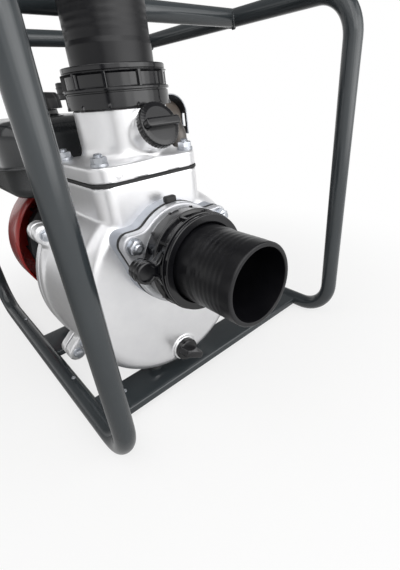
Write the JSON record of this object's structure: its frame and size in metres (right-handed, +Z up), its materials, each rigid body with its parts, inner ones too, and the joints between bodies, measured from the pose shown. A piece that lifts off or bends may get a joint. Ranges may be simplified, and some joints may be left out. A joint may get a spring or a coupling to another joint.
{
  "type": "gas engine trash pump",
  "caption": "Self-priming pump with hose tails at the front and top, driven by a small engine with recoil starter, in a tubular roll frame.",
  "frame": {"origin": "on the floor, below the middle of the whole machine", "axes": "+Z up, -Y out of the suction hose tail, +X to the right as seen from the suction side"},
  "size_m": [0.389, 0.545, 0.44],
  "materials": {
    "frame_paint": "satin",
    "cast_aluminium": "satin",
    "rubber": "matte",
    "black_plastic": "gloss",
    "zinc_plated_steel": "bright",
    "cast_iron": "matte",
    "muffler_steel": "matte",
    "engine_paint": "gloss",
    "tank_paint": "gloss",
    "plug_ceramic": "gloss"
  },
  "bodies": {
    "machine": {"left_hoop": "frame_paint", "right_hoop": "frame_paint", "front_cross_plate": "frame_paint", "rear_cross_plate": "frame_paint", "front_top_bar": "frame_paint", "rear_top_bar": "frame_paint", "mount_front_left": "rubber", "mount_front_right": "rubber", "mount_rear_left": "rubber", "mount_rear_right": "rubber", "pump_casing": "cast_aluminium", "casing_seal": "rubber", "rear_cover": "cast_aluminium", "volute": "cast_iron", "shaft_seal": "rubber", "suction_gasket": "rubber", "suction_flange": "cast_aluminium", "flange_stud_left": "zinc_plated_steel", "flange_stud_right": "zinc_plated_steel", "suction_washer": "rubber", "suction_tail": "black_plastic", "top_gasket": "rubber", "discharge_head": "cast_aluminium", "head_stud_1": "zinc_plated_steel", "head_stud_2": "zinc_plated_steel", "head_stud_3": "zinc_plated_steel", "head_stud_4": "zinc_plated_steel", "discharge_washer": "rubber", "discharge_tail": "black_plastic", "side_cover": "cast_aluminium", "cylinder_block": "cast_aluminium", "cylinder_head": "cast_aluminium", "rocker_cover": "zinc_plated_steel", "spark_plug": "plug_ceramic", "fan_shroud": "engine_paint", "recoil_cover": "engine_paint", "fuel_tank": "tank_paint", "muffler": "muffler_steel", "muffler_guard": "zinc_plated_steel", "carburettor": "cast_aluminium", "air_cleaner_base": "black_plastic", "air_cleaner_cover": "black_plastic", "control_bracket": "zinc_plated_steel"},
    "crank_train": {"crankshaft": "zinc_plated_steel", "flywheel": "cast_iron", "impeller": "cast_iron"},
    "check_valve": {"check_valve_flap": "rubber"},
    "suction_coupling": {"suction_ring": "black_plastic"},
    "discharge_coupling": {"discharge_ring": "black_plastic"},
    "drain": {"drain_plug": "black_plastic"},
    "priming": {"priming_cap": "black_plastic"},
    "oil_filler": {"dipstick": "black_plastic"},
    "cleaner_knob": {"air_cleaner_knob": "black_plastic"},
    "fuel_filler": {"fuel_cap": "black_plastic"},
    "throttle": {"throttle_lever": "black_plastic"},
    "choke": {"choke_lever": "black_plastic"},
    "fuel_valve": {"fuel_valve_lever": "black_plastic"},
    "ignition_switch": {"engine_switch": "black_plastic"},
    "recoil_grip": {"recoil_handle": "black_plastic"},
    "recoil_spool": {"recoil_pulley": "black_plastic"}
  },
  "joints": [
    {"name": "crank_spin", "type": "hinge", "parent": "machine", "child": "crank_train", "pos_m": [-0.061, 0, 0.1425], "axis": [0, 1, 0], "continuous": true},
    {"name": "check_valve_swing", "type": "hinge", "parent": "machine", "child": "check_valve", "pos_m": [-0.061, -0.153, 0.2285], "axis": [1, 0, 0], "range_deg": [0, 35]},
    {"name": "suction_ring_turn", "type": "hinge", "parent": "machine", "child": "suction_coupling", "pos_m": [-0.061, -0.1688, 0.1915], "axis": [0, -1, 0], "continuous": true},
    {"name": "discharge_ring_turn", "type": "hinge", "parent": "machine", "child": "discharge_coupling", "pos_m": [-0.061, -0.08845, 0.3318], "axis": [0, 0, 1], "continuous": true},
    {"name": "drain_plug_turn", "type": "hinge", "parent": "machine", "child": "drain", "pos_m": [-0.061, -0.1435, 0.0515], "axis": [0, -1, 0], "continuous": true},
    {"name": "priming_cap_turn", "type": "hinge", "parent": "machine", "child": "priming", "pos_m": [-0.061, -0.14807, 0.31419], "axis": [0, -0.9272, 0.3746], "continuous": true},
    {"name": "dipstick_turn", "type": "hinge", "parent": "machine", "child": "oil_filler", "pos_m": [-0.1258, 0.0595, 0.1029], "axis": [-0.766, 0, 0.6428], "continuous": true},
    {"name": "cleaner_knob_turn", "type": "hinge", "parent": "machine", "child": "cleaner_knob", "pos_m": [0.06685, 0.1533, 0.3366], "axis": [0, 0, 1], "continuous": true},
    {"name": "fuel_cap_turn", "type": "hinge", "parent": "machine", "child": "fuel_filler", "pos_m": [-0.0875, 0.0798, 0.3351], "axis": [0, 0, 1], "range_deg": [0, 90]},
    {"name": "throttle_swing", "type": "hinge", "parent": "machine", "child": "throttle", "pos_m": [0.0426, 0.1488, 0.2175], "axis": [1, 0, 0], "range_deg": [-20, 20]},
    {"name": "choke_swing", "type": "hinge", "parent": "machine", "child": "choke", "pos_m": [0.08915, 0.1223, 0.21432], "axis": [1, 0, 0], "range_deg": [-60, 0]},
    {"name": "fuel_valve_swing", "type": "hinge", "parent": "machine", "child": "fuel_valve", "pos_m": [0.08915, 0.1223, 0.19232], "axis": [1, 0, 0], "range_deg": [-90, 0]},
    {"name": "switch_turn", "type": "hinge", "parent": "machine", "child": "ignition_switch", "pos_m": [0.022, 0.1628, 0.2255], "axis": [0, 1, 0], "range_deg": [0, 60]},
    {"name": "recoil_pull", "type": "slide", "parent": "machine", "child": "recoil_grip", "axis": [0, 0.7071, 0.7071], "range_m": [0, 0.6]},
    {"name": "recoil_spin", "type": "hinge", "parent": "machine", "child": "recoil_spool", "pos_m": [-0.061, 0.1631, 0.1425], "axis": [0, 1, 0], "range_deg": [0, 860]}
  ],
  "couplings": [
    {"joint": "recoil_spin", "follows": "recoil_pull", "rad_per_m": 25}
  ]
}
